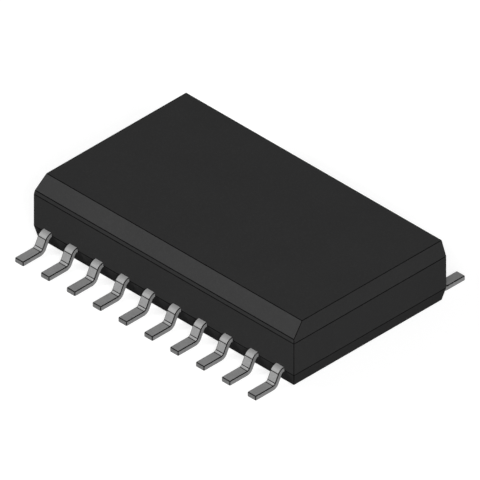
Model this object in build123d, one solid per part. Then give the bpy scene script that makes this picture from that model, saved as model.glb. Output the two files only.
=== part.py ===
from build123d import *
from math import atan, cos, degrees, radians, tan
import os

# A logic buffer chip: a 20-lead wide small-outline package, moulded over its lead frame.
# Sizes are in millimetres. The origin is on the seating plane under the middle of the body,
# +X runs along the body, +Y across the leads and +Z up. The bevelled side of the body is
# -Y. Pin 1 is at its -X end, and the pins count along it and back along the other side.

# Moulded body
body_width = 7.50
package_height = 2.65
standoff = 0.10
end_margin = 0.685  # from the middle of an outermost lead to the end of the body
upper_draft_height = 0.685
lower_draft_height = 0.52
draft_inset = 0.113
bevel_inset = 0.516  # from the upright side to the upper edge of the bevel
bevel_height = 0.520
ejector_mark_diameter = 1.20
ejector_mark_depth = 0.04
ejector_mark_spacing = 7.60

# Lead frame
frame_thickness = 0.20
frame_bend_radius = 0.11  # on the inside of every bend
lead_plane_height = 0.64  # from the seating plane to the middle of the metal

# Leads
leads_per_quadrant = 5
lead_pitch = 1.27
lead_span = 10.30
lead_width = 0.41
leg_angle = 63.0
root_length = 0.60  # of full lead width, inside the body
finger_width = 0.30
finger_neck = 0.20  # of straight finger, before it fans
finger_tip_length = 0.35
finger_gap = 0.25  # between the die pad and the fingers
side_fingers_per_quadrant = 3  # the others end at the short sides of the die pad

# Die pad and its tie bars
pad_length = 4.00
pad_width = 2.80
pad_downset = 0.20
tie_bar_width = 0.40
tie_bar_step_start = 0.20
tie_bar_step_angle = 45.0
tie_bar_cover = 0.10  # of moulding between the end of a tie bar and the end of the body

# Die and its adhesive
die_length = 2.20
die_width = 1.60
die_thickness = 0.28
adhesive_thickness = 0.03
adhesive_margin = 0.05

# Bond wires
wire_diameter = 0.025  # across the flats that stand for its round section
wire_sides = 8
ball_diameter = 0.075
ball_height = 0.020
bond_pad_pitch = 0.28
bond_pad_inset = 0.12
loop_height = 0.18
loop_shoulder = 0.06
loop_level_share = 0.45  # of the wire's reach, before it comes down to the finger
stitch_setback = 0.14
stitch_length = 0.07

# Heights and places that follow
band_bottom = standoff + lower_draft_height
band_top = package_height - upper_draft_height
lead_row = (2 * leads_per_quadrant - 1) * lead_pitch
body_length = lead_row + 2 * end_margin
lead_top = lead_plane_height + frame_thickness / 2
foot_height = frame_thickness / 2
middle_bend_radius = frame_bend_radius + frame_thickness / 2
lead_shoulder = middle_bend_radius * tan(radians(leg_angle) / 2)
leg_reach = (lead_plane_height - foot_height) / tan(radians(leg_angle))
pad_height = lead_plane_height - pad_downset
pad_top = pad_height + frame_thickness / 2
die_bottom = pad_top + adhesive_thickness
die_top = die_bottom + die_thickness
end_fingers_per_quadrant = leads_per_quadrant - side_fingers_per_quadrant
side_tip_pitch = pad_length / (2 * side_fingers_per_quadrant)
end_tip_pitch = pad_width / (2 * end_fingers_per_quadrant + 1)


def body_blank():
    """The moulded body before anything is set into it."""
    with BuildPart() as blank:
        with BuildSketch(Plane.XY.offset(band_bottom)):
            Rectangle(body_length, body_width)
        extrude(amount=band_top - band_bottom)
        upper_draft = atan(draft_inset / upper_draft_height)
        lower_draft = atan(draft_inset / lower_draft_height)
        upper_face = blank.faces().sort_by(Axis.Z)[-1]
        lower_face = blank.faces().sort_by(Axis.Z)[0]
        extrude(upper_face, amount=upper_draft_height, taper=degrees(upper_draft))
        extrude(lower_face, amount=lower_draft_height, taper=degrees(lower_draft))
        top = blank.faces().sort_by(Axis.Z)[-1]
        chamfer(
            top.edges().sort_by(Axis.Y)[0],
            length=bevel_inset - draft_inset,
            length2=bevel_height / cos(upper_draft),
            reference=top,
        )
        with BuildSketch(Plane.XY.offset(standoff)):
            with GridLocations(ejector_mark_spacing, 0, 2, 1):
                Circle(ejector_mark_diameter / 2)
        extrude(amount=ejector_mark_depth, mode=Mode.SUBTRACT)
    return blank.part


def end_finger_row(rank):
    """The row of an end finger, counted from the tie bar."""
    return leads_per_quadrant - rank


def finger_route(rank):
    """The middle line of a finger in the +X, +Y quadrant, from its lead's root to its tip."""
    lead_x = (rank + 0.5) * lead_pitch
    root_y = body_width / 2 - root_length
    if rank < side_fingers_per_quadrant:
        tip = ((rank + 0.5) * side_tip_pitch, pad_width / 2 + finger_gap)
        turn = (tip[0], tip[1] + finger_tip_length)
    else:
        tip = (pad_length / 2 + finger_gap, end_finger_row(rank) * end_tip_pitch)
        straight = (rank - side_fingers_per_quadrant + 1) * finger_tip_length
        turn = (tip[0] + straight, tip[1])
    return (lead_x, root_y + root_length / 2), (lead_x, root_y - finger_neck), turn, tip


def lead(rank):
    """One lead of the +X, +Y quadrant: its gull wing, its root and its finger."""
    bend_y = body_width / 2 + lead_shoulder
    with BuildPart() as stamped:
        with BuildSketch(Plane.YZ.offset((rank + 0.5) * lead_pitch)):
            with BuildLine():
                FilletPolyline(
                    (body_width / 2 - root_length, lead_plane_height),
                    (bend_y, lead_plane_height),
                    (bend_y + leg_reach, foot_height),
                    (lead_span / 2, foot_height),
                    radius=middle_bend_radius,
                )
            trace(line_width=frame_thickness)
        extrude(amount=lead_width / 2, both=True)
        with BuildSketch(Plane.XY.offset(lead_plane_height)):
            with BuildLine():
                Polyline(*finger_route(rank))
            trace(line_width=finger_width)
        extrude(amount=frame_thickness / 2, both=True)
    return stamped.part


def die_pad():
    """The die pad, with the tie bars that step up from its ends to the plane of the leads."""
    step_x = pad_length / 2 + tie_bar_step_start
    step_reach = pad_downset / tan(radians(tie_bar_step_angle))
    with BuildPart() as pad:
        with Locations((0, 0, pad_height)):
            Box(pad_length, pad_width, frame_thickness)
        with BuildSketch(Plane.XZ):
            with BuildLine():
                FilletPolyline(
                    (0, pad_height),
                    (step_x, pad_height),
                    (step_x + step_reach, lead_plane_height),
                    (body_length / 2 - tie_bar_cover, lead_plane_height),
                    radius=middle_bend_radius,
                )
            trace(line_width=frame_thickness)
            mirror(about=Plane.YZ)
        extrude(amount=tie_bar_width / 2, both=True)
    return pad.part


def die_attach():
    """The adhesive under the die, which comes out a little all round it."""
    size = (die_length + 2 * adhesive_margin, die_width + 2 * adhesive_margin, adhesive_thickness)
    return Pos(0, 0, pad_top) * Box(*size, align=(Align.CENTER, Align.CENTER, Align.MIN))


def silicon_die():
    """The die."""
    size = (die_length, die_width, die_thickness)
    return Pos(0, 0, die_bottom) * Box(*size, align=(Align.CENTER, Align.CENTER, Align.MIN))


def bond_wire(rank):
    """One bond wire of the +X, +Y quadrant: its ball on the die, its loop and its stitch."""
    tip_x, tip_y = finger_route(rank)[-1]
    if rank < side_fingers_per_quadrant:
        bond_pad = Vector((rank + 0.5) * bond_pad_pitch, die_width / 2 - bond_pad_inset)
        stitch = Vector(tip_x, tip_y + stitch_setback)
    else:
        across = (end_finger_row(rank) - 0.5) * bond_pad_pitch
        bond_pad = Vector(die_length / 2 - bond_pad_inset, across)
        stitch = Vector(tip_x + stitch_setback, tip_y)
    reach = (stitch - bond_pad).length
    forward = (stitch - bond_pad).normalized()
    upright = Plane(bond_pad, x_dir=forward, z_dir=forward.cross(Vector(0, 0, 1)))
    loop_top = die_top + loop_height
    stitch_height = lead_top + wire_diameter / 2
    flat_down = 90 + 180 / wire_sides
    with BuildPart() as wire:
        with BuildSketch(Plane((bond_pad.X, bond_pad.Y, die_top), x_dir=forward)):
            RegularPolygon(ball_diameter / 2, wire_sides, rotation=flat_down)
        extrude(amount=ball_height)
        with BuildLine(upright) as loop:
            Polyline(
                (0, die_top + ball_height),
                (0, loop_top - loop_shoulder),
                (loop_shoulder, loop_top),
                (loop_level_share * reach, loop_top),
                (reach - stitch_length, stitch_height),
                (reach, stitch_height),
            )
        with BuildSketch(Plane(loop.line @ 0, x_dir=upright.z_dir, z_dir=loop.line % 0)):
            RegularPolygon(wire_diameter / 2, wire_sides, major_radius=False, rotation=flat_down)
        sweep(path=loop.line, transition=Transition.RIGHT)
    return wire.part


def in_quadrant(shape, x_side, y_side):
    """A shape of the +X, +Y quadrant, mirrored into the quadrant of those signs."""
    if x_side < 0:
        shape = mirror(shape, about=Plane.YZ)
    if y_side < 0:
        shape = mirror(shape, about=Plane.XZ)
    return shape


# The pins in order: how far out from the middle of its row each is, and its quadrant
outward = list(range(leads_per_quadrant))
inward = outward[::-1]
pins = [(rank, -1, -1) for rank in inward] + [(rank, 1, -1) for rank in outward]
pins += [(rank, 1, 1) for rank in inward] + [(rank, -1, 1) for rank in outward]

leads = [lead(rank) for rank in outward]
wires = [bond_wire(rank) for rank in outward]

nodes = {"die_pad": die_pad(), "die_attach": die_attach(), "silicon_die": silicon_die()}
for number, (rank, x_side, y_side) in enumerate(pins, start=1):
    nodes[f"lead_{number:02d}"] = in_quadrant(leads[rank], x_side, y_side)
    nodes[f"bond_wire_{number:02d}"] = in_quadrant(wires[rank], x_side, y_side)

# The moulding fills all the room that the pieces inside it leave
nodes["moulded_body"] = body_blank() - list(nodes.values())

os.makedirs("parts", exist_ok=True)
for name, shape in nodes.items():
    export_step(shape, f"parts/{name}.step")
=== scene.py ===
from math import atan2, cos, pi, radians, sin, tan
from types import SimpleNamespace

import bmesh
import bpy
from bpy.props import FloatProperty, FloatVectorProperty, IntProperty, PointerProperty
from mathutils import Matrix, Vector


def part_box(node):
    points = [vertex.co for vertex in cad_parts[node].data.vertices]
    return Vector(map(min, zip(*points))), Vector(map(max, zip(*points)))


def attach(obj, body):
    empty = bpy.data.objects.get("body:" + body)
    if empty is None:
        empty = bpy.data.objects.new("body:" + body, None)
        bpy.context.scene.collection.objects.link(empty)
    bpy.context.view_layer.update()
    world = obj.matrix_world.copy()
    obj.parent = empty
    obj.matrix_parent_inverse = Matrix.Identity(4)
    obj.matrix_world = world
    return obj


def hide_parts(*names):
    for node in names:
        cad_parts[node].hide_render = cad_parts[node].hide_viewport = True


bl_info = {
    "name": "Logic buffer chip",
    "version": (1, 0, 0),
    "blender": (4, 5, 0),
    "location": "3D View > Sidebar > Chip",
    "description": "Dresses a 20-lead chip: its moulding, leads, lead frame, die and bond wires",
    "category": "Object",
}

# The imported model, in metres
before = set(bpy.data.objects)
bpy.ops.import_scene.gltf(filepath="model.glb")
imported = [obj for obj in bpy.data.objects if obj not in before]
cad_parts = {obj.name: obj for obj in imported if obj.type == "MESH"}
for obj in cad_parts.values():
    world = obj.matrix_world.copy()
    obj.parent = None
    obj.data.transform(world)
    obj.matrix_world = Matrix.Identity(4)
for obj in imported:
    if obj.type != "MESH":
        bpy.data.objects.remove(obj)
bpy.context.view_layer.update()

# The forms below are worked out in millimetres and brought to metres when they are done
MM = 1000
body_low, body_high = (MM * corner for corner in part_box("moulded_body"))
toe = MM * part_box("lead_11")[1].y
die_low, die_high = (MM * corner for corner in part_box("silicon_die"))
glue_low, glue_high = (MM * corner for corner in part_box("die_attach"))

# How finely the round forms are stepped
BEND_STEPS = 5
MARK_SEGMENTS = 32
BALL_STEPS = 16
WIRE_STEPS = 8

# The angles past which an edge is rounded, and below which a face of a solid is flat
MOULDED_ANGLE = radians(5)
STAMPED_ANGLE = radians(30)
PAD_ANGLE = radians(60)
FLAT_ANGLE = radians(1)

# Corners nearer to each other than the first are one, and a corner nearer to the end of
# the toe than the second lies on it
MERGED = 0.0001
NEAR = 0.001

# How far a corner's direction lies along X where it belongs to a sheared side
FACING = 0.8

# How far the end of a wire spreads and sinks where the tool presses it on a finger
STITCH_SPREAD = 0.6
STITCH_PRESS = 0.65

# The profile of a ball, in shares of its radius and height, and of the cone above it, in
# shares of the wire's radius and of the ball's height
BALL_PROFILE = [(0, 0), (0.85, 0), (1, 0.3), (1, 0.6), (0.8, 0.95)]
CONE_PROFILE = [(1.3, 1.15), (1, 1.6), (0, 1.7)]

# The lamps, by the setting that holds their power: name, azimuth, elevation and side in
# metres, and how far off they all stand
LAMPS = {
    "key": ("Key lamp", 58, 28.5, 0.2),
    "left": ("Left lamp", -43, 33, 0.08),
    "back": ("Back lamp", 225, -28, 0.2),
}
LAMP_DISTANCE = 0.3

# The camera's azimuth, elevation and distance in metres
VIEW = (45, 35.264)
VIEW_DISTANCE = 0.1

# The floor's side and how far below the feet it lies, in metres, how bright it looks where
# nothing shades it, and how strongly the lamps light it
FLOOR_SIDE = 2
FLOOR_DROP = 0.000005
FLOOR_TONE = 1.05
FLOOR_LIGHT = 0.8


# Settings


def length(name, description, default):
    """A size in metres that the user may change."""
    return FloatProperty(
        name=name, description=description, default=default, min=0, unit="LENGTH", precision=6
    )


def share(name, description, default):
    """A share from 0 to 1 that the user may change."""
    return FloatProperty(
        name=name, description=description, default=default, min=0, max=1, subtype="FACTOR"
    )


def colour(name, description, default):
    """A colour that the user may change."""
    return FloatVectorProperty(
        name=name, description=description, default=default, min=0, max=1, size=3, subtype="COLOR"
    )


def power(name, description, default):
    """The power of a lamp that the user may change."""
    return FloatProperty(
        name=name, description=description, default=default, min=0, unit="POWER"
    )


class CHIP_PG_moulding(bpy.types.PropertyGroup):
    """Sizes and colours of the moulded body"""

    band_bottom: length("Band bottom", "Height where the upright band begins", 0.00062)
    band_top: length("Band top", "Height where the upright band ends", 0.001965)
    draft_inset: length("Draft inset", "How far the drafted faces lean in", 0.000113)
    bevel_inset: length("Bevel inset", "From the band in to the top of the bevel", 0.000516)
    bevel_height: length("Bevel height", "Height of the bevel", 0.00052)
    mark_diameter: length("Pin mark", "Diameter of an ejector pin's mark", 0.0012)
    mark_depth: length("Pin mark depth", "Depth of an ejector pin's mark", 0.00004)
    mark_spacing: length("Pin mark spacing", "From one pin mark to the other", 0.0076)
    edge: length("Edge", "Width of the rounding on the edges", 0.000022)
    rim: length("Rim", "Width of the rounding on the rim of a pin mark", 0.00001)
    compound: colour("Compound", "Colour of the mould compound", (0.0286, 0.0286, 0.0288))
    filler: colour("Filler", "Colour of the filler where it shows", (0.05, 0.05, 0.05))
    # Painted shade: a near-black colour along the rounded edges and the rims of the pin marks
    painted_edge_shade: colour("Rubbed edge", "Colour along the edges", (0.004, 0.004, 0.004))
    mottle: share("Mottle", "How far the colour varies over the body", 0.06)


class CHIP_PG_leads(bpy.types.PropertyGroup):
    """Sizes and colours of the leads"""

    quarter: IntProperty(
        name="Leads a quarter", description="Leads in each quarter of the chip", default=5, min=1
    )
    side_fingers: IntProperty(
        name="Side fingers", description="Fingers a quarter that end beside the pad", default=3, min=0
    )
    pitch: length("Pitch", "From one lead to the next", 0.00127)
    width: length("Width", "Width of a lead outside the moulding", 0.00041)
    thickness: length("Thickness", "Thickness of the metal", 0.0002)
    plane: length("Plane", "Height of the middle of the metal in the moulding", 0.00064)
    bend: length("Bend radius", "Radius on the inside of a bend", 0.00011)
    leg_angle: FloatProperty(
        name="Leg angle", description="Slope of the leg", default=radians(63), subtype="ANGLE"
    )
    root: length("Root", "Length of full width inside the moulding", 0.0006)
    plated: length("Plated root", "Length of the plating inside the moulding", 0.0001)
    shoulder: length("Shoulder", "Length in which the root narrows to the finger", 0.00008)
    finger_width: length("Finger width", "Width of a finger", 0.0003)
    finger_neck: length("Finger neck", "Length of a finger before it fans", 0.0002)
    finger_tip: length("Finger tip", "Length of the straight tip of a finger", 0.00035)
    finger_gap: length("Finger gap", "Between the die pad and the fingers", 0.00025)
    spot: length("Silver spot", "Length of the silver plating on the tip of a finger", 0.0002)
    spot_border: length("Spot border", "Width of the border of the silver plating", 0.00001)
    pad_length: length("Pad length", "Length of the die pad between the fingers", 0.004)
    pad_width: length("Pad width", "Width of the die pad between the fingers", 0.0028)
    edge: length("Edge", "Width of the rounding on the stamped edges", 0.000034)
    tin: colour("Tin", "Colour of the plating", (0.238, 0.238, 0.238))
    # Painted light: a lighter colour on the bends, as a painted highlight
    pressed: colour("Pressed bend", "Colour of the plating on the bends", (0.28, 0.28, 0.28))
    # Painted shade: a near-black colour along the rounded stamped edges of the leads
    stamped: colour("Stamped edge", "Colour along the stamped edges", (0.004, 0.004, 0.004))
    # Painted shade: how dark the lines across the leads at the ends of the bends are
    crease: share("Crease", "How strongly the ends of the bends show", 0.5)
    crease_width: length("Crease width", "Half the width of a mark at the end of a bend", 0.000022)
    cut: colour("Cut end", "Colour of the cut end of a foot", (0.155, 0.155, 0.155))
    sheared: share("Sheared side", "How far the sheared sides look like a cut end", 0.4)
    alloy: colour("Copper alloy", "Colour of the bare metal in the moulding", (0.72, 0.45, 0.32))
    silver: colour("Silver", "Colour of the plating under the stitches", (0.8, 0.79, 0.76))


class CHIP_PG_inside(bpy.types.PropertyGroup):
    """Sizes and colours of the pieces inside the moulding"""

    edge: length("Pad edge", "Width of the rounding on the edges of the die pad", 0.00002)
    climb: length("Adhesive climb", "Height of the adhesive on the sides of the die", 0.00004)
    glue_edge: length("Adhesive edge", "Width of the rounding of the adhesive", 0.000012)
    die_edge: length("Die edge", "Width of the rounding of the die", 0.000004)
    street: length("Saw street", "Width of the bare border of the die", 0.00003)
    coat: length("Coat", "Thickness of the glassy coat on the die", 0.000003)
    window: length("Bond window", "Side of a bond pad's window in the coat", 0.00009)
    bond_pitch: length("Bond pitch", "From one bond pad to the next", 0.00028)
    bond_inset: length("Bond inset", "From the edge of the die to the middle of a pad", 0.00012)
    wire: length("Wire", "Diameter of a bond wire", 0.000025)
    ball: length("Ball", "Diameter of the ball of a bond wire", 0.000075)
    ball_height: length("Ball height", "Height of the ball of a bond wire", 0.00002)
    loop: length("Loop", "Height of a bond wire's loop above the die", 0.00018)
    shoulder: length("Loop shoulder", "Length in which a wire turns from upright to level", 0.00006)
    level: share("Level share", "Share of a wire's reach before it comes down", 0.45)
    setback: length("Stitch setback", "From the tip of a finger to its stitch", 0.00014)
    stitch: length("Stitch", "Length of a stitch", 0.00007)
    alloy: colour("Copper alloy", "Colour of the die pad", (0.72, 0.45, 0.32))
    adhesive: colour("Adhesive", "Colour of the filled adhesive", (0.3, 0.3, 0.29))
    silicon: colour("Silicon", "Colour of the die", (0.12, 0.13, 0.16))
    bonding: colour("Bond pad", "Colour of the bond pads in their windows", (0.8, 0.8, 0.79))
    gold: colour("Gold", "Colour of the bond wires", (0.9, 0.68, 0.26))


class CHIP_PG_stage(bpy.types.PropertyGroup):
    """The floor, the lamps and the camera"""

    floor: colour("Floor", "Colour of the floor as the light that it throws back", (0.06, 0.06, 0.06))
    shadow: share("Shadow", "Share of the floor's tone that a shadow can take away", 0.35)
    key: power("Key lamp", "Lamp beside the camera", 1.1)
    left: power("Left lamp", "Lamp on the side of the bevel", 0.5)
    back: power("Back lamp", "Lamp behind and below, whose light comes through the floor", 0.8)
    fill: FloatProperty(
        name="Fill", description="Strength of the light from all round", default=0.15, min=0
    )
    overhead: FloatProperty(
        name="Overhead", description="Brightness overhead in reflections", default=0.1, min=0
    )
    view_width: length("View width", "Width that the camera takes in", 0.016684)
    aim: length("Aim", "Height of the point that the camera looks at", 0.001325)


SETTINGS = {
    "chip_moulding": CHIP_PG_moulding,
    "chip_leads": CHIP_PG_leads,
    "chip_inside": CHIP_PG_inside,
    "chip_stage": CHIP_PG_stage,
}


def in_mm(settings):
    """The settings of a group, with their lengths in millimetres."""
    values = {}
    for name, kind in settings.bl_rna.properties.items():
        if name in type(settings).__annotations__:
            value = getattr(settings, name)
            values[name] = value * MM if kind.unit == "LENGTH" else value
    return SimpleNamespace(**values)


# Nodes


def add(tree, kind, inputs=None, **settings):
    """A node of one kind, with its settings, and with the values or links of its inputs."""
    node = tree.nodes.new(kind)
    for name, value in settings.items():
        setattr(node, name, value)
    for socket, value in (inputs or {}).items():
        if isinstance(value, bpy.types.NodeSocket):
            tree.links.new(value, node.inputs[socket])
        else:
            node.inputs[socket].default_value = value
    return node


def maths(tree, operation, *numbers):
    """The result of an operation on numbers."""
    return add(tree, "ShaderNodeMath", dict(enumerate(numbers)), operation=operation).outputs[0]


def mixed(tree, factor, first, second):
    """A colour between two colours."""
    node = add(tree, "ShaderNodeMix", {0: factor, 6: first, 7: second}, data_type="RGBA")
    return node.outputs[2]


def varied(tree, shade, mask, amount):
    """A colour that grows lighter and darker as a mask leaves its middle."""
    swing = maths(tree, "SUBTRACT", mask, 0.5)
    gain = maths(tree, "MULTIPLY_ADD", swing, amount, 1.0)
    node = add(tree, "ShaderNodeVectorMath", {0: shade, "Scale": gain}, operation="SCALE")
    return node.outputs[0]


def ranged(tree, value, low, high, to_low=0.0, to_high=1.0, smooth=False):
    """A value brought from one range to another, and held inside it."""
    inputs = {"Value": value, "From Min": low, "From Max": high, "To Min": to_low, "To Max": to_high}
    kind = "SMOOTHSTEP" if smooth else "LINEAR"
    return add(tree, "ShaderNodeMapRange", inputs, interpolation_type=kind).outputs["Result"]


def mapped(tree, place, **settings):
    """A place that is turned or stretched."""
    inputs = {name.capitalize(): value for name, value in settings.items()}
    return add(tree, "ShaderNodeMapping", {"Vector": place, **inputs}).outputs[0]


def noise(tree, place, scale, detail, roughness=0.5):
    """Soft noise from 0 to 1."""
    inputs = {"Vector": place, "Scale": scale, "Detail": detail, "Roughness": roughness}
    return add(tree, "ShaderNodeTexNoise", inputs).outputs["Fac"]


def shared_group(name, inputs, *masks):
    """An empty shader group, which takes a place, a colour and more and gives a colour and masks."""
    tree = bpy.data.node_groups.new(name, "ShaderNodeTree")
    sockets = tree.interface
    sockets.new_socket("Position", in_out="INPUT", socket_type="NodeSocketVector")
    for socket, default in {"Colour": (0.5, 0.5, 0.5, 1), **inputs}.items():
        kind = "NodeSocketFloat" if isinstance(default, float) else "NodeSocketColor"
        sockets.new_socket(socket, in_out="INPUT", socket_type=kind).default_value = default
    sockets.new_socket("Colour", in_out="OUTPUT", socket_type="NodeSocketColor")
    for mask in masks:
        sockets.new_socket(mask, in_out="OUTPUT", socket_type="NodeSocketFloat")
    return tree, tree.nodes.new("NodeGroupInput").outputs


def make_grain_group():
    """Fine grain: specks of a second colour, and the height of the relief."""
    inputs = {"Grains per mm": 30.0, "Speck": (0.6, 0.6, 0.6, 1), "Speck share": 0.3}
    tree, given = shared_group("Fine grain", inputs, "Height", "Mask")
    place, scale = given["Position"], given["Grains per mm"]
    relief = noise(tree, place, scale, 3.0, 0.6)
    cells = add(tree, "ShaderNodeTexVoronoi", {"Vector": place, "Scale": scale}).outputs["Color"]
    chance = add(tree, "ShaderNodeSeparateColor", {"Color": cells}).outputs["Red"]
    speck = ranged(tree, chance, 0.6, 1.0, 0.0, given["Speck share"])
    colour = mixed(tree, speck, given["Colour"], given["Speck"])
    add(tree, "NodeGroupOutput", {"Colour": colour, "Height": relief, "Mask": speck})
    return tree


def make_mottle_group():
    """Slow mottle: a colour that grows a little lighter and darker over broad patches."""
    tree, given = shared_group("Slow mottle", {"Patches per mm": 0.5, "Amount": 0.1}, "Mask")
    patches = noise(tree, given["Position"], given["Patches per mm"], 4.0, 0.55)
    mask = ranged(tree, patches, 0.3, 0.7)
    colour = varied(tree, given["Colour"], mask, given["Amount"])
    add(tree, "NodeGroupOutput", {"Colour": colour, "Mask": mask})
    return tree


def make_edge_group():
    """Edge shade: a second colour along the marked edges, with a slightly uneven border."""
    inputs = {
        "Edge": 0.0,
        "Edge colour": (0.3, 0.3, 0.3, 1),
        "Unevenness": 0.2,
        "Begins": 0.1,
        "Full": 0.6,
    }
    tree, given = shared_group("Edge shade", inputs)
    swing = maths(tree, "SUBTRACT", noise(tree, given["Position"], 12.0, 2.0), 0.5)
    uneven = maths(tree, "MULTIPLY_ADD", swing, given["Unevenness"], given["Edge"])
    mask = ranged(tree, uneven, given["Begins"], given["Full"], smooth=True)
    colour = mixed(tree, mask, given["Colour"], given["Edge colour"])
    add(tree, "NodeGroupOutput", {"Colour": colour})
    return tree


def make_streak_group():
    """Rolled streaks: fine lines that run along Y, as rolling leaves them in sheet metal."""
    tree, given = shared_group("Rolled streaks", {"Streaks per mm": 20.0, "Amount": 0.1}, "Height")
    stretched = mapped(tree, given["Position"], scale=(1.0, 0.06, 0.06))
    lines = noise(tree, stretched, given["Streaks per mm"], 3.0, 0.65)
    mask = ranged(tree, lines, 0.25, 0.75)
    colour = varied(tree, given["Colour"], mask, given["Amount"])
    add(tree, "NodeGroupOutput", {"Colour": colour, "Height": mask})
    return tree


SHARED_GROUPS = {
    "Fine grain": make_grain_group,
    "Slow mottle": make_mottle_group,
    "Edge shade": make_edge_group,
    "Rolled streaks": make_streak_group,
}


def use_group(tree, name, place, shade, values):
    """A shared group placed in a material, made when it is first used."""
    made = bpy.data.node_groups.get(name) or SHARED_GROUPS[name]()
    inputs = {"Position": place, "Colour": shade, **values}
    return add(tree, "ShaderNodeGroup", inputs, node_tree=made).outputs


def new_material(name):
    """An empty material with its node tree."""
    old = bpy.data.materials.get(name)
    if old:
        bpy.data.materials.remove(old)
    material = bpy.data.materials.new(name)
    material.use_nodes = True
    material.node_tree.nodes.clear()
    return material, material.node_tree


def place_in_mm(tree):
    """The place on the piece, in millimetres."""
    here = add(tree, "ShaderNodeTexCoord").outputs["Object"]
    return mapped(tree, here, scale=(MM, MM, MM))


def marked(tree, name):
    """How far a place on the piece is marked with the named attribute."""
    return add(tree, "ShaderNodeAttribute", attribute_name=name).outputs["Fac"]


def edged(tree, place, shade, edge_shade, unevenness, begins, full):
    """A colour with a second colour along the marked edges of the piece."""
    inputs = {
        "Edge": marked(tree, "edge"),
        "Edge colour": edge_shade,
        "Unevenness": unevenness,
        "Begins": begins,
        "Full": full,
    }
    return use_group(tree, "Edge shade", place, shade, inputs)["Colour"]


def bumped(tree, height, strength, depth):
    """The surface's direction with a fine relief of a depth in millimetres."""
    inputs = {"Height": height, "Strength": strength, "Distance": depth / MM}
    return add(tree, "ShaderNodeBump", inputs).outputs[0]


def finish_surface(tree, shader):
    """Sends a shader to the material's output."""
    add(tree, "ShaderNodeOutputMaterial", {"Surface": shader.outputs[0]})


def principled(tree, look):
    """Gives a material its shader."""
    finish_surface(tree, add(tree, "ShaderNodeBsdfPrincipled", look))


def opaque(shade, gain=1.0):
    """A colour made lighter or darker, with full alpha."""
    return (*(min(1.0, gain * part) for part in shade), 1.0)


# Materials


def moulding_material(settings):
    """Matt mould compound with its filler and fine spark-eroded grain, and painted dark shade along
    its rounded edges and the rims of its pin marks.
    """
    material, tree = new_material("Mould compound")
    place = place_in_mm(tree)
    mottle = {"Patches per mm": 0.45, "Amount": settings.mottle}
    broad = use_group(tree, "Slow mottle", place, opaque(settings.compound), mottle)
    filler = {"Grains per mm": 26.0, "Speck": opaque(settings.filler), "Speck share": 0.16}
    grain = use_group(tree, "Fine grain", place, broad["Colour"], filler)
    # Painted shade: near-black lines along the rounded edges and the rims of the pin marks
    painted_edge_shade = edged(tree, place, grain["Colour"], opaque(settings.painted_edge_shade), 0.1, 0.02, 0.3)
    dull = ranged(tree, grain["Height"], 0.2, 0.8, 0.28, 0.36)
    polish = ranged(tree, marked(tree, "polished"), 0.0, 1.0, 0.0, 0.2)
    look = {
        "Base Color": painted_edge_shade,
        "Roughness": maths(tree, "SUBTRACT", dull, polish),
        "Metallic": 0.045,
        "Specular IOR Level": 0.0,
        "Specular Tint": (0, 0, 0, 1),
        "Normal": bumped(tree, grain["Height"], 0.35, 0.004),
    }
    principled(tree, look)
    return material


def tin_material(settings):
    """Matt tin plating with rolled streaks and a crystal grain, painted light on the bends, and
    painted dark shade along the edges and the ends of the bends.
    """
    material, tree = new_material("Matt tin")
    place = place_in_mm(tree)
    mottle = {"Patches per mm": 2.2, "Amount": 0.12}
    broad = use_group(tree, "Slow mottle", place, opaque(settings.tin), mottle)
    streaks = {"Streaks per mm": 22.0, "Amount": 0.1}
    rolled = use_group(tree, "Rolled streaks", place, broad["Colour"], streaks)
    crystals = {"Grains per mm": 38.0, "Speck": (0.5, 0.5, 0.5, 1.0), "Speck share": 0.12}
    grain = use_group(tree, "Fine grain", place, rolled["Colour"], crystals)
    # Painted light: the bends are coloured lighter
    pressed = mixed(tree, marked(tree, "pressed"), grain["Colour"], opaque(settings.pressed))
    cut = mixed(tree, marked(tree, "cut"), pressed, opaque(settings.cut))
    # Painted shade: near-black lines along the stamped edges and at the ends of the bends
    stamped = edged(tree, place, cut, opaque(settings.stamped), 0.1, 0.02, 0.2)
    relief = maths(tree, "ADD", rolled["Height"], grain["Height"])
    look = {
        "Base Color": stamped,
        "Metallic": 0.2,
        "Roughness": ranged(tree, grain["Height"], 0.2, 0.8, 0.54, 0.62),
        "Specular IOR Level": 0.2,
        "Normal": bumped(tree, relief, 0.3, 0.0015),
    }
    principled(tree, look)
    return material


def alloy_material(name, shade, plating):
    """Bare copper alloy of a lead frame, with the streaks of its rolling and its silver spots."""
    material, tree = new_material(name)
    place = place_in_mm(tree)
    mottle = {"Patches per mm": 0.8, "Amount": 0.08}
    broad = use_group(tree, "Slow mottle", place, opaque(shade), mottle)
    streaks = {"Streaks per mm": 40.0, "Amount": 0.07}
    rolled = use_group(tree, "Rolled streaks", place, broad["Colour"], streaks)
    # Painted shade: darker lines along the rounded stamped edges
    stamped = edged(tree, place, rolled["Colour"], opaque(shade, 0.6), 0.3, 0.1, 0.7)
    look = {
        "Base Color": mixed(tree, marked(tree, "silver"), stamped, opaque(plating)),
        "Metallic": 0.7,
        "Roughness": ranged(tree, rolled["Height"], 0.0, 1.0, 0.34, 0.44),
        "Normal": bumped(tree, rolled["Height"], 0.2, 0.0006),
    }
    principled(tree, look)
    return material


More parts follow.
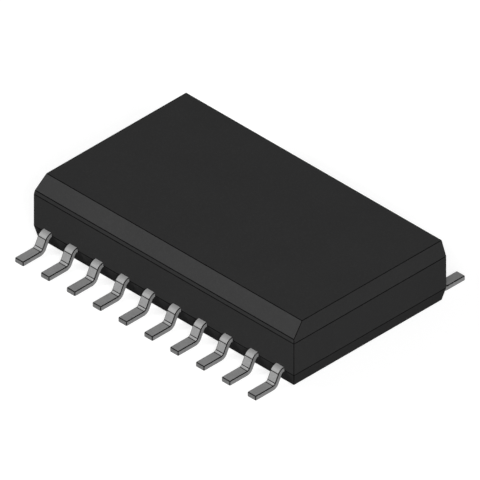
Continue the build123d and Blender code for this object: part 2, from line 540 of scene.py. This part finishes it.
def adhesive_material(shade):
    """Silver-filled epoxy: a grey paste with flakes that glint."""
    material, tree = new_material("Filled adhesive")
    place = place_in_mm(tree)
    flakes = {"Grains per mm": 120.0, "Speck": (0.62, 0.62, 0.6, 1.0), "Speck share": 0.7}
    grain = use_group(tree, "Fine grain", place, opaque(shade), flakes)
    look = {
        "Base Color": grain["Colour"],
        "Metallic": ranged(tree, grain["Mask"], 0.1, 0.6, 0.0, 0.5),
        "Roughness": ranged(tree, grain["Height"], 0.2, 0.8, 0.45, 0.6),
        "Normal": bumped(tree, grain["Height"], 0.3, 0.001),
    }
    principled(tree, look)
    return material


def bricks(tree, place, colours, sizes, rows):
    """Rows of oblongs in two colours, between lines in a third."""
    inputs = {"Vector": place, **dict(zip(("Color1", "Color2", "Mortar"), colours)), **sizes}
    return add(tree, "ShaderNodeTexBrick", inputs, **rows).outputs


def printed_tracks(tree, place, ground):
    """The fine metal tracks of a circuit on the colour of its ground."""
    darker = mixed(tree, 0.3, ground, (0, 0, 0, 1))
    lighter = mixed(tree, 0.12, ground, (1, 1, 1, 1))
    sizes = {"Scale": 19.0, "Mortar Size": 0.05, "Brick Width": 4.3, "Row Height": 0.4}
    rows = {"offset": 0.37, "offset_frequency": 3, "squash": 0.4, "squash_frequency": 4}
    return bricks(tree, place, (ground, darker, lighter), sizes, rows)["Color"]


def silicon_material(shade):
    """Silicon under its glassy coat, with the faint blocks and tracks of a circuit."""
    material, tree = new_material("Silicon")
    place = place_in_mm(tree)
    black, white = (0, 0, 0, 1), (1, 1, 1, 1)
    sizes = {"Scale": 2.1, "Mortar Size": 0.008, "Brick Width": 0.93, "Row Height": 0.61}
    rows = {"offset": 0.29, "offset_frequency": 2, "squash": 0.55, "squash_frequency": 3}
    blocks = bricks(tree, place, (black, white, black), sizes, rows)
    tinted = opaque([1.3 * shade[0], 1.7 * shade[1], 1.9 * shade[2]])
    ground = mixed(tree, blocks["Color"], opaque(shade), tinted)
    along = printed_tracks(tree, place, ground)
    across = printed_tracks(tree, mapped(tree, place, rotation=(0, 0, pi / 2)), ground)
    tracks = mixed(tree, ranged(tree, blocks["Color"], 0.45, 0.55), along, across)
    streets = mixed(tree, blocks["Fac"], tracks, opaque(shade, 0.5))
    printed = mixed(tree, marked(tree, "printed"), opaque(shade, 0.8), streets)
    mottle = {"Patches per mm": 1.5, "Amount": 0.2}
    broad = use_group(tree, "Slow mottle", place, printed, mottle)
    look = {
        "Base Color": broad["Colour"],
        "Metallic": 0.5,
        "Roughness": ranged(tree, broad["Mask"], 0.0, 1.0, 0.12, 0.22),
        "Coat Weight": 0.6,
        "Coat Roughness": 0.05,
        "Normal": bumped(tree, blocks["Fac"], 0.2, 0.0005),
    }
    principled(tree, look)
    return material


def fine_metal_material(name, shade):
    """Bright fine metal, as of a bond wire or a bond pad, with a faint grain."""
    material, tree = new_material(name)
    place = place_in_mm(tree)
    crystals = {"Grains per mm": 60.0, "Speck": opaque(shade, 1.1), "Speck share": 0.5}
    grain = use_group(tree, "Fine grain", place, opaque(shade), crystals)
    look = {
        "Base Color": grain["Colour"],
        "Metallic": 0.85,
        "Roughness": ranged(tree, grain["Height"], 0.2, 0.8, 0.25, 0.35),
        "Normal": bumped(tree, grain["Height"], 0.2, 0.0005),
    }
    principled(tree, look)
    return material


# Forms, in millimetres

QUARTERS = [(x_side, y_side) for x_side in (-1, 1) for y_side in (-1, 1)]


def new_form(*marks):
    """An empty form, which knows its roundings from its broad faces, and layers for its marks."""
    bm = bmesh.new()
    bm.faces.layers.int.new("rounding")
    return bm, *(bm.verts.layers.float.new(name) for name in marks)


def mark(verts, layer, strength=1.0):
    """Marks corners on a layer."""
    for vert in verts:
        vert[layer] = strength


def lone_face(bm, middle, width, depth, facing=Matrix.Identity(4)):
    """A new face about a point, level unless it is turned."""
    place = Matrix.Translation(middle) @ facing @ Matrix.Diagonal((width, depth, 1, 1))
    made = bmesh.ops.create_grid(bm, x_segments=1, y_segments=1, size=0.5, matrix=place)
    return made["verts"][0].link_faces[0]


def drawn(bm, end, step):
    """Draws an end face on by a step, and gives back the new end face."""
    closes = all(len(border.link_faces) == 1 for border in end.edges)
    made = bmesh.ops.extrude_face_region(bm, geom=[end])["geom"]
    if not closes:
        bmesh.ops.delete(bm, geom=[end], context="FACES_ONLY")
    end = next(part for part in made if isinstance(part, bmesh.types.BMFace))
    bmesh.ops.translate(bm, verts=end.verts[:], vec=step)
    return end


def drawn_to(bm, end, corner, along, onward):
    """Draws an end face on to a corner, where it lies on the plane that halves the turn."""
    end = drawn(bm, end, (0, 0, 0))
    halving = along + onward
    for vert in end.verts:
        vert.co += along * ((corner - vert.co).dot(halving) / along.dot(halving))
    return end


def scaled_face(bm, face, centre, factors):
    """Scales a face about a point."""
    away = Matrix.Translation(-Vector(centre))
    bmesh.ops.scale(bm, vec=factors, space=away, verts=face.verts[:])


def turned(bm, end, centre, angle):
    """Spins an end face about a line along X: the new end face, and the corners up to it."""
    before = set(bm.verts)
    made = bmesh.ops.spin(
        bm,
        geom=[end],
        cent=centre,
        axis=(1, 0, 0),
        angle=angle,
        steps=BEND_STEPS,
        use_merge=False,
        use_normal_flip=False,
        use_duplicate=False,
    )
    bmesh.ops.delete(bm, geom=[end], context="FACES_ONLY")
    end = next(part for part in made["geom_last"] if isinstance(part, bmesh.types.BMFace))
    return end, set(bm.verts) - before - set(end.verts)


def rounded(bm, edges, width, layer, strength=1.0):
    """Rounds edges in two steps, and marks the middle of the rounding on a layer."""
    made = bmesh.ops.bevel(
        bm,
        geom=edges,
        offset=width,
        offset_type="OFFSET",
        segments=2,
        profile=0.5,
        affect="EDGES",
        clamp_overlap=True,
        material=-1,
    )
    strip = set(made["faces"])
    rounding = bm.faces.layers.int["rounding"]
    for face in strip:
        face[rounding] = 1
    middle = [vert for vert in made["verts"] if strip.issuperset(vert.link_faces)]
    mark(middle, layer, strength)


def sharp_edges(bm, angle):
    """The edges where two faces meet at more than an angle."""
    return [e for e in bm.edges if len(e.link_faces) == 2 and e.calc_face_angle(0) > angle]


def moulding_form(size):
    """The closed outer form of the moulding."""
    bm, edge, polished = new_form("edge", "polished")
    centre = (body_low + body_high) / 2
    span = body_high - body_low
    foot = lone_face(bm, (centre.x, centre.y, size.band_bottom), span.x, span.y)
    top = drawn(bm, foot, (0, 0, size.band_top - size.band_bottom))
    top = drawn(bm, top, (0, 0, body_high.z - size.band_top))
    underside = drawn(bm, foot, (0, 0, body_low.z - size.band_bottom))
    lean = (1 - 2 * size.draft_inset / span.x, 1 - 2 * size.draft_inset / span.y, 1)
    scaled_face(bm, top, centre, lean)
    scaled_face(bm, underside, centre, lean)
    cut_bevel(bm, size)
    border = underside.edges[:]
    bmesh.ops.delete(bm, geom=[underside], context="FACES_ONLY")
    rims = []
    for side in (-1, 1):
        floor, rim = pin_mark(bm, centre, side, size)
        mark(floor.verts, polished)
        rims += rim
    bmesh.ops.triangle_fill(bm, use_beauty=True, edges=border + rims, normal=(0, 0, -1))
    bmesh.ops.recalc_face_normals(bm, faces=bm.faces[:])
    outer = [part for part in sharp_edges(bm, MOULDED_ANGLE) if on_outside(part, size)]
    rounded(bm, rims, size.rim, edge)
    rounded(bm, outer, size.edge, edge)
    return bm


def cut_bevel(bm, size):
    """Cuts the long bevel and closes the cut."""
    foot_z = body_high.z - size.bevel_height
    leaning = (foot_z - size.band_top) / (body_high.z - size.band_top)
    head = Vector((0, body_low.y + size.bevel_inset, body_high.z))
    foot = Vector((0, body_low.y + size.draft_inset * leaning, foot_z))
    made = bmesh.ops.bisect_plane(
        bm,
        geom=bm.verts[:] + bm.edges[:] + bm.faces[:],
        plane_co=head,
        plane_no=(foot - head).cross(Vector((1, 0, 0))),
        clear_outer=True,
    )
    border = [part for part in made["geom_cut"] if isinstance(part, bmesh.types.BMEdge)]
    bmesh.ops.edgeloop_fill(bm, edges=border)


def pin_mark(bm, centre, side, size):
    """The floor and the rim of the mark of an ejector pin, sunk into the underside."""
    spot = Matrix.Translation((centre.x + side * size.mark_spacing / 2, centre.y, body_low.z))
    ring = bmesh.ops.create_circle(
        bm, cap_ends=True, segments=MARK_SEGMENTS, radius=size.mark_diameter / 2, matrix=spot
    )
    return sunk(bm, ring["verts"][0].link_faces[0], size.mark_depth)


def sunk(bm, cap, step):
    """The floor and the open rim of a place, made from a lone face by a step along Z."""
    rim = cap.edges[:]
    floor = drawn(bm, cap, (0, 0, step))
    bmesh.ops.delete(bm, geom=[cap], context="FACES_ONLY")
    return floor, rim


def on_outside(edge, size):
    """Whether an edge belongs to the outer form and not to a pin mark."""
    marks = size.mark_spacing / 2 + size.mark_diameter
    inside = [abs(v.co.y) < size.mark_diameter and abs(v.co.x) < marks for v in edge.verts]
    return not all(inside)


def finger_route(rank, size):
    """The middle line of a finger in the +X, +Y quarter, from its tip to its lead's root."""
    plane = size.plane
    lead_x = (rank + 0.5) * size.pitch
    root_y = body_high.y - size.root
    if rank < size.side_fingers:
        x = (rank + 0.5) * size.pad_length / (2 * size.side_fingers)
        tip = Vector((x, size.pad_width / 2 + size.finger_gap, plane))
        turn = tip + Vector((0, size.finger_tip, 0))
    else:
        rows = size.quarter - size.side_fingers
        y = (size.quarter - rank) * size.pad_width / (2 * rows + 1)
        tip = Vector((size.pad_length / 2 + size.finger_gap, y, plane))
        turn = tip + Vector(((rank - size.side_fingers + 1) * size.finger_tip, 0, 0))
    neck = Vector((lead_x, root_y - size.finger_neck, plane))
    root = Vector((lead_x, root_y, plane))
    return tip, turn, neck, root


def draw_finger(bm, rank, silver, size):
    """Draws a finger on from its tip to the full width of its root, where the end face is."""
    tip, turn, neck, root = finger_route(rank, size)
    first = (turn - tip).normalized()
    second = (neck - turn).normalized()
    third = (root - neck).normalized()
    upright = Matrix.Rotation(pi / 2, 4, "X")
    facing = Matrix.Rotation(atan2(first.y, first.x) - pi / 2, 4, "Z") @ upright
    end = lone_face(bm, tip, size.finger_width, size.thickness, facing)
    plated = end.verts[:]
    end = drawn(bm, end, first * size.spot)
    plated += end.verts[:]
    end = drawn(bm, end, first * size.spot_border)
    mark(plated, silver)
    end = drawn_to(bm, end, turn, first, second)
    end = drawn_to(bm, end, neck, second, third)
    end = drawn_to(bm, end, root, third, third)
    end = drawn(bm, end, third * size.shoulder)
    scaled_face(bm, end, root, (size.width / size.finger_width, 1, 1))
    return end


def draw_wing(bm, end, size):
    """Bends the end of a root into a leg and a foot: the creases, and the bends' corners."""
    radius = size.bend + size.thickness / 2
    fall = size.plane - size.thickness / 2
    corner = radius * tan(size.leg_angle / 2)
    leg = Vector((0, cos(size.leg_angle), -sin(size.leg_angle)))
    foot_y = body_high.y + 2 * corner + fall / tan(size.leg_angle)
    start = set(end.verts)
    end, upper = turned(bm, end, (0, body_high.y, size.plane - radius), -size.leg_angle)
    creases = end.edges[:]
    end = drawn(bm, end, leg * (fall / sin(size.leg_angle) - 2 * corner))
    creases += end.edges[:]
    end, lower = turned(bm, end, (0, foot_y, size.thickness / 2 + radius), size.leg_angle)
    creases += end.edges[:]
    drawn(bm, end, (0, toe - foot_y, 0))
    return creases, start | upper | lower


def lead_form(rank, size):
    """A lead of the +X, +Y quarter, drawn on from the tip of its finger to its toe."""
    bm, edge, cut, silver, pressed = new_form("edge", "cut", "silver", "pressed")
    end = draw_finger(bm, rank, silver, size)
    end = drawn(bm, end, (0, size.root - size.shoulder - size.plated, 0))
    end = drawn(bm, end, (0, size.plated, 0))
    creases, bends = draw_wing(bm, end, size)
    # The bends are marked for painted light
    mark(bends, pressed)
    bmesh.ops.recalc_face_normals(bm, faces=bm.faces[:])
    for face in bm.faces:
        bare = face.calc_center_median().y < body_high.y - size.plated
        face.material_index = 1 if bare else 0
    # The ends of the bends and the stamped edges are marked for painted dark shade
    rounded(bm, creases, size.crease_width, edge, size.crease)
    rounded(bm, sharp_edges(bm, STAMPED_ANGLE), size.edge, edge)
    bm.normal_update()
    for vert in bm.verts:
        if vert[edge] < 1 and abs(vert.normal.x) > FACING:
            vert[edge] = 0.0
            vert[cut] = size.sheared
        if vert[edge] < 1 and toe - vert.co.y < NEAR:
            vert[cut] = 1.0
    return bm


def pad_form(size):
    """The die pad with its tie bars, from its solid, with its stamped edges rounded."""
    bm = bmesh.new()
    bm.from_mesh(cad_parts["die_pad"].data)
    bm.faces.layers.int.new("rounding")
    edge = bm.verts.layers.float.new("edge")
    bmesh.ops.scale(bm, vec=(MM, MM, MM), verts=bm.verts[:])
    bmesh.ops.remove_doubles(bm, verts=bm.verts[:], dist=MERGED)
    bmesh.ops.dissolve_limit(bm, angle_limit=FLAT_ANGLE, verts=bm.verts[:], edges=bm.edges[:])
    rounded(bm, sharp_edges(bm, PAD_ANGLE), size.edge, edge)
    return bm


def add_block(bm, low, high):
    """Adds an upright block between two corners."""
    middle = Matrix.Translation((low + high) / 2)
    sides = Matrix.Diagonal((*(high - low), 1))
    bmesh.ops.create_cube(bm, size=1, matrix=middle @ sides)


def topmost(bm):
    """The highest face of a form."""
    return max(bm.faces, key=lambda face: face.calc_center_median().z)


def adhesive_form(size):
    """The adhesive, which comes out all round the die and climbs its sides a little."""
    bm, edge = new_form("edge")
    add_block(bm, glue_low, glue_high)
    end = drawn(bm, topmost(bm), (0, 0, size.climb))
    inner, outer = die_high - die_low, glue_high - glue_low
    lean = (inner.x / outer.x, inner.y / outer.y, 1)
    scaled_face(bm, end, (glue_low + glue_high) / 2, lean)
    rounded(bm, sharp_edges(bm, STAMPED_ANGLE), size.glue_edge, edge)
    return bm


def bond_ends(rank, leads, size):
    """Where a bond wire of the +X, +Y quarter leaves the die and meets its finger."""
    tip = finger_route(rank, leads)[0]
    if rank < leads.side_fingers:
        along = (rank + 0.5) * size.bond_pitch
        bond = Vector((along, die_high.y - size.bond_inset, die_high.z))
        return bond, tip + Vector((0, size.setback, leads.thickness / 2))
    across = (leads.quarter - rank - 0.5) * size.bond_pitch
    bond = Vector((die_high.x - size.bond_inset, across, die_high.z))
    return bond, tip + Vector((size.setback, 0, leads.thickness / 2))


def die_form(leads, size):
    """The die: its sawn block, its coat and the windows of its bond pads."""
    bm, edge, printed = new_form("edge", "printed")
    add_block(bm, die_low, die_high - Vector((0, 0, size.coat)))
    rounded(bm, bm.edges[:], size.die_edge, edge)
    top = topmost(bm)
    bmesh.ops.inset_region(bm, faces=[top], thickness=size.street, use_even_offset=True)
    top = drawn(bm, top, (0, 0, size.coat))
    border = top.edges[:]
    mark(top.verts, printed)
    bmesh.ops.delete(bm, geom=[top], context="FACES_ONLY")
    rims = []
    for rank in range(leads.quarter):
        bond = bond_ends(rank, leads, size)[0]
        for x_side, y_side in QUARTERS:
            spot = (x_side * bond.x, y_side * bond.y, die_high.z)
            window = lone_face(bm, spot, size.window, size.window)
            floor, rim = sunk(bm, window, -size.coat / 2)
            floor.material_index = 1
            rims += rim
    bmesh.ops.triangle_fill(bm, use_beauty=True, edges=border + rims, normal=(0, 0, 1))
    for rim in rims:
        mark(rim.verts, printed)
    bmesh.ops.recalc_face_normals(bm, faces=bm.faces[:])
    return bm


def wire_tube(places, size):
    """A closed tube as thick as a wire, on a smooth curve that is led by some places."""
    line = bpy.data.curves.new("Wire line", "CURVE")
    line.dimensions = "3D"
    line.bevel_depth = size.wire / 2
    line.bevel_resolution = 2
    line.use_fill_caps = True
    line.resolution_u = WIRE_STEPS
    spline = line.splines.new("NURBS")
    spline.points.add(len(places) - 1)
    for point, place in zip(spline.points, places):
        point.co = (*place, 1)
    spline.order_u = 3
    spline.use_endpoint_u = True
    holder = bpy.data.objects.new("Wire line", line)
    tube = bpy.data.meshes.new_from_object(holder)
    bpy.data.objects.remove(holder)
    bpy.data.curves.remove(line)
    bm = bmesh.new()
    bm.from_mesh(tube)
    bpy.data.meshes.remove(tube)
    bm.faces.layers.int.new("rounding")
    bmesh.ops.remove_doubles(bm, verts=bm.verts[:], dist=MERGED)
    return bm


def wire_form(rank, leads, size):
    """A bond wire of the +X, +Y quarter: its ball, its loop and its flattened stitch."""
    bond, meeting = bond_ends(rank, leads, size)
    run = Vector((meeting.x - bond.x, meeting.y - bond.y, 0))
    onward = run.normalized()
    top = die_high.z + size.loop
    rest = meeting.z + size.wire / 2
    route = [
        (0, die_high.z + size.ball_height / 2),
        (0, top - size.shoulder),
        (size.shoulder, top),
        (size.level * run.length, top),
        (run.length - size.stitch, rest),
        (run.length, rest),
    ]
    bm = wire_tube([(*(bond + onward * along).xy, height) for along, height in route], size)
    flatten_stitch(bm, meeting, onward, size)
    add_ball(bm, bond, size)
    bmesh.ops.recalc_face_normals(bm, faces=bm.faces[:])
    return bm


def flatten_stitch(bm, meeting, onward, size):
    """Presses the end of a wire flat on its finger, and spreads it."""
    across = Vector((-onward.y, onward.x, 0))
    for vert in bm.verts:
        past = (vert.co - meeting).dot(onward) + size.stitch
        pressed = min(1.0, max(0.0, past / size.stitch))
        spread = STITCH_SPREAD * pressed * across.dot(vert.co - meeting)
        vert.co += across * spread
        vert.co.z += (meeting.z - vert.co.z) * STITCH_PRESS * pressed


def add_ball(bm, bond, size):
    """Spins the squashed ball of a wire and the cone that its neck leaves."""
    profile = [(reach * size.ball / 2, rise) for reach, rise in BALL_PROFILE]
    profile += [(reach * size.wire / 2, rise) for reach, rise in CONE_PROFILE]
    line = [Vector((reach, 0, rise * size.ball_height)) for reach, rise in profile]
    verts = [bm.verts.new(bond + corner) for corner in line]
    edges = [bm.edges.new(pair) for pair in zip(verts, verts[1:])]
    bmesh.ops.spin(
        bm,
        geom=verts + edges,
        cent=bond,
        axis=(0, 0, 1),
        angle=2 * pi,
        steps=BALL_STEPS,
        use_merge=True,
    )
    poles = [vert for vert in bm.verts if (vert.co - bond).xy.length < MERGED]
    bmesh.ops.remove_doubles(bm, verts=poles, dist=MERGED)


def broad_normal(vert, rounding):
    """The direction of a vertex that keeps broad faces flat beside narrow roundings."""
    broad = [face for face in vert.link_faces if not face[rounding]] or vert.link_faces
    return sum((face.normal * face.calc_area() for face in broad), Vector()).normalized()


def placed(name, data):
    """An object in the scene, in place of an earlier one of its name."""
    old = bpy.data.objects.get(name)
    if old:
        bpy.data.objects.remove(old)
    made = bpy.data.objects.new(name, data)
    bpy.context.scene.collection.objects.link(made)
    return made


def new_piece(name, bm, materials, slot, *nodes):
    """Finishes a piece from a form in millimetres, which stands for its CAD nodes."""
    for face in bm.faces:
        face.smooth = True
    bm.normal_update()
    rounding = bm.faces.layers.int["rounding"]
    normals = [broad_normal(vert, rounding) for vert in bm.verts]
    bmesh.ops.scale(bm, vec=(1 / MM,) * 3, verts=bm.verts[:])
    mesh = bpy.data.meshes.new(name)
    bm.to_mesh(mesh)
    bm.free()
    mesh.normals_split_custom_set_from_vertices(normals)
    for material in materials:
        mesh.materials.append(material)
    piece = placed(name, mesh)
    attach(piece, "root")
    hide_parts(*nodes)


def pins(count):
    """Each pin's number, how far out from the middle of its row it is, and its quarter."""
    out = list(range(count))
    places = [(rank, -1, -1) for rank in reversed(out)] + [(rank, 1, -1) for rank in out]
    places += [(rank, 1, 1) for rank in reversed(out)] + [(rank, -1, 1) for rank in out]
    return [(number, *place) for number, place in enumerate(places, start=1)]


def to_quarter(bm, x_side, y_side):
    """Mirrors a form of the +X, +Y quarter into the quarter of those signs."""
    bmesh.ops.scale(bm, vec=(x_side, y_side, 1), verts=bm.verts[:])
    bmesh.ops.recalc_face_normals(bm, faces=bm.faces[:])


# Operators


class CHIP_OT_moulding(bpy.types.Operator):
    """Makes the moulded body with its drafts, bevel and ejector pin marks"""

    bl_idname = "chip.moulding"
    bl_label = "Moulded body"

    def execute(self, context):
        settings = context.scene.chip_moulding
        material = moulding_material(settings)
        bm = moulding_form(in_mm(settings))
        new_piece("body_shell", bm, [material], "mould_compound", "moulded_body")
        return {"FINISHED"}


class CHIP_OT_leads(bpy.types.Operator):
    """Makes the twenty leads, each with its foot, leg, bends, root and finger"""

    bl_idname = "chip.leads"
    bl_label = "Leads"

    def execute(self, context):
        settings = context.scene.chip_leads
        size = in_mm(settings)
        bare = alloy_material("Finger copper alloy", settings.alloy, settings.silver)
        materials = [tin_material(settings), bare]
        for number, rank, x_side, y_side in pins(size.quarter):
            bm = lead_form(rank, size)
            to_quarter(bm, x_side, y_side)
            name = f"formed_lead_{number:02d}"
            new_piece(name, bm, materials, "tinned_lead", f"lead_{number:02d}")
        return {"FINISHED"}


class CHIP_OT_frame(bpy.types.Operator):
    """Makes the die pad with its tie bars"""

    bl_idname = "chip.frame"
    bl_label = "Die pad"

    def execute(self, context):
        settings = context.scene.chip_inside
        alloy = alloy_material("Pad copper alloy", settings.alloy, settings.alloy)
        new_piece("stamped_pad", pad_form(in_mm(settings)), [alloy], "lead_frame_metal", "die_pad")
        return {"FINISHED"}


class CHIP_OT_adhesive(bpy.types.Operator):
    """Makes the adhesive that holds the die on its pad"""

    bl_idname = "chip.adhesive"
    bl_label = "Adhesive"

    def execute(self, context):
        settings = context.scene.chip_inside
        paste = adhesive_material(settings.adhesive)
        bm = adhesive_form(in_mm(settings))
        new_piece("adhesive_layer", bm, [paste], "filled_adhesive", "die_attach")
        return {"FINISHED"}


class CHIP_OT_die(bpy.types.Operator):
    """Makes the die with its coat and its bond pads"""

    bl_idname = "chip.die"
    bl_label = "Die"

    def execute(self, context):
        settings = context.scene.chip_inside
        size = in_mm(settings)
        leads = in_mm(context.scene.chip_leads)
        silicon = silicon_material(settings.silicon)
        bonding = fine_metal_material("Bond pad metal", settings.bonding)
        new_piece("bare_die", die_form(leads, size), [silicon, bonding], "silicon", "silicon_die")
        return {"FINISHED"}


class CHIP_OT_wires(bpy.types.Operator):
    """Makes the twenty bond wires, each with its ball, loop and stitch"""

    bl_idname = "chip.wires"
    bl_label = "Bond wires"

    def execute(self, context):
        settings = context.scene.chip_inside
        size = in_mm(settings)
        leads = in_mm(context.scene.chip_leads)
        gold = fine_metal_material("Gold wire", settings.gold)
        for number, rank, x_side, y_side in pins(leads.quarter):
            bm = wire_form(rank, leads, size)
            to_quarter(bm, x_side, y_side)
            name = f"bonded_wire_{number:02d}"
            new_piece(name, bm, [gold], "gold_wire", f"bond_wire_{number:02d}")
        return {"FINISHED"}


class CHIP_OT_stage(bpy.types.Operator):
    """Makes the floor, the surroundings, the lamps and the camera"""

    bl_idname = "chip.stage"
    bl_label = "Stage"

    def execute(self, context):
        settings = context.scene.chip_stage
        make_floor(settings)
        make_surroundings(context.scene, settings)
        for setting, lamp in LAMPS.items():
            make_lamp(*lamp, getattr(settings, setting))
        make_camera(context.scene, settings)
        context.scene.view_settings.view_transform = "Standard"
        return {"FINISHED"}


# Stage


def outward(azimuth, elevation):
    """The direction from the chip to a place round it."""
    turn, rise = radians(azimuth), radians(elevation)
    return Vector((sin(turn) * cos(rise), -cos(turn) * cos(rise), sin(rise)))


def seen_as_background(tree):
    """1 where the camera, a reflection or clear glass looks at the surroundings."""
    path = add(tree, "ShaderNodeLightPath").outputs
    both = maths(tree, "MAXIMUM", path["Is Camera Ray"], path["Is Glossy Ray"])
    return maths(tree, "MAXIMUM", both, path["Is Transmission Ray"])


def make_floor(settings):
    """A white floor that keeps a soft shadow, and lets sight and light through from below."""
    material, tree = new_material("Floor paper")
    thrown = add(tree, "ShaderNodeBsdfDiffuse", {"Color": opaque(settings.floor)}).outputs[0]
    shade = add(tree, "ShaderNodeBsdfDiffuse", {"Color": opaque([settings.shadow] * 3)})
    unshaded = FLOOR_TONE - FLOOR_LIGHT * settings.shadow
    white = add(tree, "ShaderNodeEmission", {"Strength": unshaded})
    seen = add(tree, "ShaderNodeAddShader", {0: shade.outputs[0], 1: white.outputs[0]}).outputs[0]
    ways = {0: seen_as_background(tree), 1: thrown, 2: seen}
    above = add(tree, "ShaderNodeMixShader", ways).outputs[0]
    clear = add(tree, "ShaderNodeBsdfTransparent").outputs[0]
    below = add(tree, "ShaderNodeNewGeometry").outputs["Backfacing"]
    light = add(tree, "ShaderNodeLightPath").outputs["Is Shadow Ray"]
    through = maths(tree, "MAXIMUM", below, light)
    finish_surface(tree, add(tree, "ShaderNodeMixShader", {0: through, 1: above, 2: clear}))
    bm = bmesh.new()
    lone_face(bm, (0, 0, -FLOOR_DROP), FLOOR_SIDE, FLOOR_SIDE)
    mesh = bpy.data.meshes.new("Floor")
    bm.to_mesh(mesh)
    bm.free()
    mesh.materials.append(material)
    floor = placed("Floor", mesh)


def make_surroundings(scene, settings):
    """White surroundings, which reflections show as white at the chip's height and dim above."""
    world = bpy.data.worlds.new("Surroundings")
    world.use_nodes = True
    tree = world.node_tree
    tree.nodes.clear()
    way = add(tree, "ShaderNodeTexCoord").outputs["Generated"]
    height = add(tree, "ShaderNodeSeparateXYZ", {0: way}).outputs["Z"]
    wall = ranged(tree, height, 0.1, 0.6, 1.0, settings.overhead, smooth=True)
    inputs = {0: seen_as_background(tree), 2: settings.fill, 3: wall}
    around = add(tree, "ShaderNodeMix", inputs).outputs[0]
    camera = add(tree, "ShaderNodeLightPath").outputs["Is Camera Ray"]
    strength = add(tree, "ShaderNodeMix", {0: camera, 2: around, 3: 1.0}).outputs[0]
    light = add(tree, "ShaderNodeBackground", {"Color": (1, 1, 1, 1), "Strength": strength})
    add(tree, "ShaderNodeOutputWorld", {"Surface": light.outputs[0]})
    scene.world = world


def aimed(name, data, azimuth, elevation, distance, aim=(0, 0, 0)):
    """A lamp or camera round a point, turned to face the point."""
    made = placed(name, data)
    away = outward(azimuth, elevation)
    made.location = Vector(aim) + away * distance
    made.rotation_euler = (-away).to_track_quat("-Z", "Y").to_euler()
    return made


def make_lamp(name, azimuth, elevation, side, watts):
    """A square soft lamp that faces the chip."""
    lamp = bpy.data.lights.new(name, "AREA")
    lamp.size = side
    lamp.energy = watts
    aimed(name, lamp, azimuth, elevation, LAMP_DISTANCE)


def make_camera(scene, settings):
    """A camera without perspective that looks at the chip from above one corner."""
    lens = bpy.data.cameras.new("Camera")
    lens.type = "ORTHO"
    lens.ortho_scale = settings.view_width
    lens.clip_start = 0.001
    lens.clip_end = 10
    scene.camera = aimed("Camera", lens, *VIEW, VIEW_DISTANCE, (0, 0, settings.aim))


# Panel and registration


class CHIP_PT_panel(bpy.types.Panel):
    """Lists the pieces of the chip and their settings"""

    bl_idname = "CHIP_PT_panel"
    bl_label = "Logic buffer chip"
    bl_space_type = "VIEW_3D"
    bl_region_type = "UI"
    bl_category = "Chip"

    def draw(self, context):
        for group, row in PIECES:
            box = self.layout.box()
            for operator in row:
                box.operator(operator.bl_idname)
            for name in SETTINGS[group].__annotations__:
                box.prop(getattr(context.scene, group), name)


PIECES = [
    ("chip_stage", [CHIP_OT_stage]),
    ("chip_moulding", [CHIP_OT_moulding]),
    ("chip_leads", [CHIP_OT_leads]),
    ("chip_inside", [CHIP_OT_frame, CHIP_OT_adhesive, CHIP_OT_die, CHIP_OT_wires]),
]
CLASSES = [*SETTINGS.values(), *(operator for group, row in PIECES for operator in row)]
CLASSES += [CHIP_PT_panel]


def register():
    """Makes the settings, operators and panel known."""
    for item in CLASSES:
        bpy.utils.register_class(item)
    for name, group in SETTINGS.items():
        setattr(bpy.types.Scene, name, PointerProperty(type=group))


def unregister():
    """Takes the settings, operators and panel away again."""
    for name in SETTINGS:
        delattr(bpy.types.Scene, name)
    for item in reversed(CLASSES):
        bpy.utils.unregister_class(item)


def main():
    """Dresses the chip."""
    register()
    bpy.ops.chip.stage()
    bpy.ops.chip.moulding()
    bpy.ops.chip.leads()
    bpy.ops.chip.frame()
    bpy.ops.chip.adhesive()
    bpy.ops.chip.die()
    bpy.ops.chip.wires()


if __name__ == "__main__":
    main()
